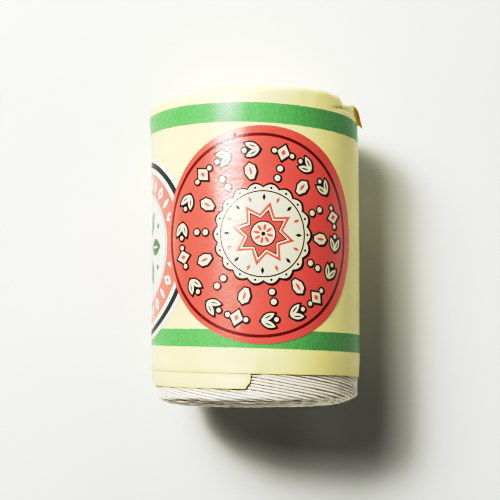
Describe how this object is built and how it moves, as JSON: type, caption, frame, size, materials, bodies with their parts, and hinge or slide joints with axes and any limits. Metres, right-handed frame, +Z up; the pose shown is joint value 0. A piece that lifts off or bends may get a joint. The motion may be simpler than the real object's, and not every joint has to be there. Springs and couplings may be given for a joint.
{
  "type": "waxed thread spool",
  "caption": "Cross-wound waxed linen thread package on a paperboard tube, in a paper wrapper with round tickets that slides off one end.",
  "frame": {"origin": "on the surface the spool lies on, under the middle of its length and its axis", "axes": "+Z up, +Y along the spool axis towards the folded end of the wrapper, +X to the right as seen with the front ticket up"},
  "size_m": [0.046, 0.0672, 0.045],
  "materials": {
    "tube_board": "matt grey-brown paperboard",
    "waxed_thread": "off-white waxed linen thread",
    "wrapper_paper": "glazed cream paper with printed green bands",
    "side_ticket_paper": "glazed white paper, printed",
    "front_ticket_paper": "glazed red printed paper"
  },
  "bodies": {
    "package": {"core_tube": "tube_board", "thread_winding": "waxed_thread"},
    "wrapper": {"paper_wrapper": "wrapper_paper", "side_ticket": "side_ticket_paper", "front_ticket": "front_ticket_paper"}
  },
  "joints": [
    {"name": "wrapper_slide", "type": "slide", "parent": "package", "child": "wrapper", "axis": [0, 1, 0], "range_m": [0, 0.07]}
  ]
}
